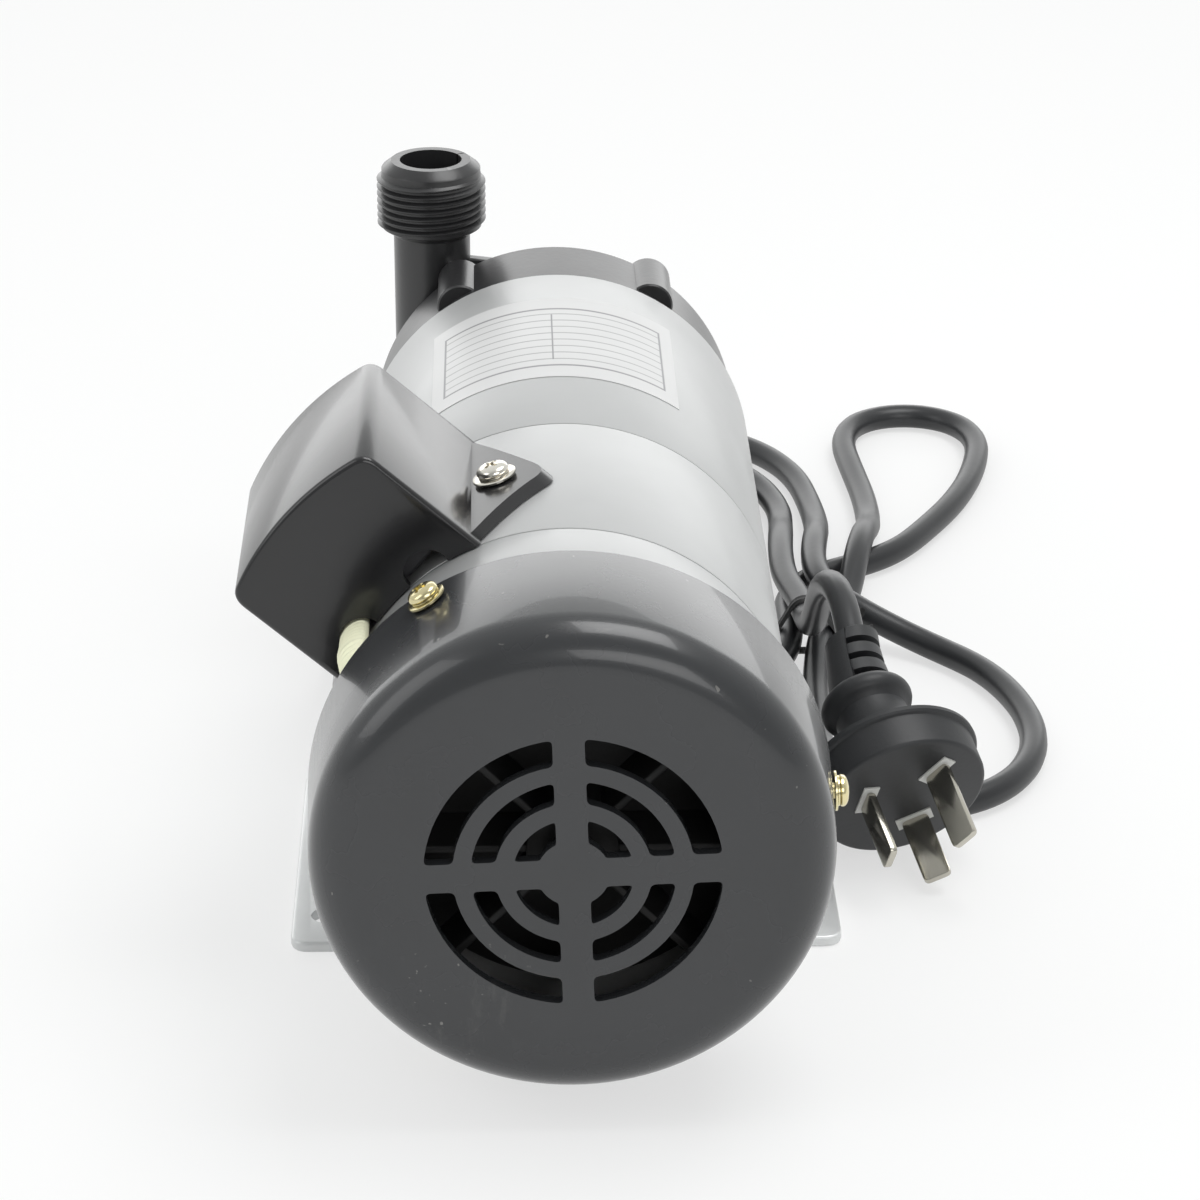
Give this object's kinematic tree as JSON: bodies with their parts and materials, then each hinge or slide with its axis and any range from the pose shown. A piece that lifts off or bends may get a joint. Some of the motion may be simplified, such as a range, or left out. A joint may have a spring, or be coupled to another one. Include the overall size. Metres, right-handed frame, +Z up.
{
  "type": "magnetic drive pump",
  "caption": "Small sealed centrifugal pump: a fan-cooled capacitor motor on a foot turns the impeller through a can wall by magnets; threaded ports, terminal box, mains lead with plug.",
  "frame": {"origin": "underside of the motor foot, below the motor axis, at the middle of the foot's length", "axes": "+Y along the motor axis from the fan cover to the pump head's inlet, +Z up to the outlet, +X to the right seen from the fan cover"},
  "size_m": [0.1885, 0.3695, 0.1199],
  "materials": {
    "cover_black": "satin",
    "silver_paint": "satin",
    "black_plastic": "satin",
    "fan_plastic": "matte",
    "steel": "satin",
    "laminated_steel": "matte",
    "copper_wire": "lacquered",
    "cast_aluminium": "cast",
    "ferrite": "matte",
    "capacitor_case": "gloss",
    "ceramic": "polished",
    "carbon": "satin",
    "rubber": "matte",
    "yellow_zinc": "yellow zinc plated",
    "nickel": "nickel plated",
    "cream_sleeve": "satin",
    "foot_grey": "satin",
    "cord_black": "satin"
  },
  "bodies": {
    "base": {"fan_cover": "cover_black", "cover_screw_1": "yellow_zinc", "cover_screw_2": "yellow_zinc", "cover_screw_3": "yellow_zinc", "rear_end_bell": "silver_paint", "stator_shell": "silver_paint", "front_end_bell": "silver_paint", "motor_tie_bolt_1": "steel", "motor_tie_bolt_2": "steel", "motor_tie_bolt_3": "steel", "motor_tie_bolt_4": "steel", "stator_core": "laminated_steel", "stator_windings": "copper_wire", "rear_bearing_outer_race": "steel", "front_bearing_outer_race": "steel", "rear_casing": "black_plastic", "front_casing": "black_plastic", "casing_screw_1": "steel", "casing_screw_2": "steel", "casing_screw_3": "steel", "casing_screw_4": "steel", "casing_o_ring": "rubber", "ceramic_spindle": "ceramic", "rear_thrust_washer": "ceramic", "front_thrust_washer": "ceramic", "terminal_box_cover": "black_plastic", "box_screw_1": "nickel", "box_screw_2": "nickel", "terminal_block": "cream_sleeve", "run_capacitor": "capacitor_case", "lead_sleeve": "cream_sleeve", "cord_gland": "rubber", "motor_foot": "foot_grey", "foot_screw_1": "steel", "foot_screw_2": "steel", "power_cord": "cord_black", "cord_tie": "rubber", "plug_body": "black_plastic", "plug_pin_live": "nickel", "plug_pin_neutral": "nickel", "plug_pin_earth": "nickel"},
    "rotor": {"rotor_core": "laminated_steel", "rotor_cage": "cast_aluminium", "motor_shaft": "steel", "cooling_fan": "fan_plastic", "rear_bearing_inner_race": "steel", "front_bearing_inner_race": "steel", "drive_magnet_yoke": "steel", "hub_set_screw": "steel", "drive_magnet_1": "ferrite", "drive_magnet_2": "ferrite", "drive_magnet_3": "ferrite", "drive_magnet_4": "ferrite"},
    "bearing_balls": {"rear_bearing_balls": "steel", "front_bearing_balls": "steel"},
    "impeller": {"impeller": "black_plastic", "impeller_magnet": "ferrite", "magnet_cap": "black_plastic", "impeller_bush": "carbon"}
  },
  "joints": [
    {"name": "rotor_spin", "type": "hinge", "parent": "base", "child": "rotor", "pos_m": [0, 0, 0.058], "axis": [0, 1, 0], "continuous": true},
    {"name": "balls_spin", "type": "hinge", "parent": "base", "child": "bearing_balls", "pos_m": [0, 0, 0.058], "axis": [0, 1, 0], "continuous": true},
    {"name": "impeller_spin", "type": "hinge", "parent": "base", "child": "impeller", "pos_m": [0, 0, 0.058], "axis": [0, 1, 0], "continuous": true}
  ],
  "couplings": [
    {"joint": "balls_spin", "follows": "rotor_spin", "ratio": 0.39},
    {"joint": "impeller_spin", "follows": "rotor_spin", "ratio": 1}
  ]
}
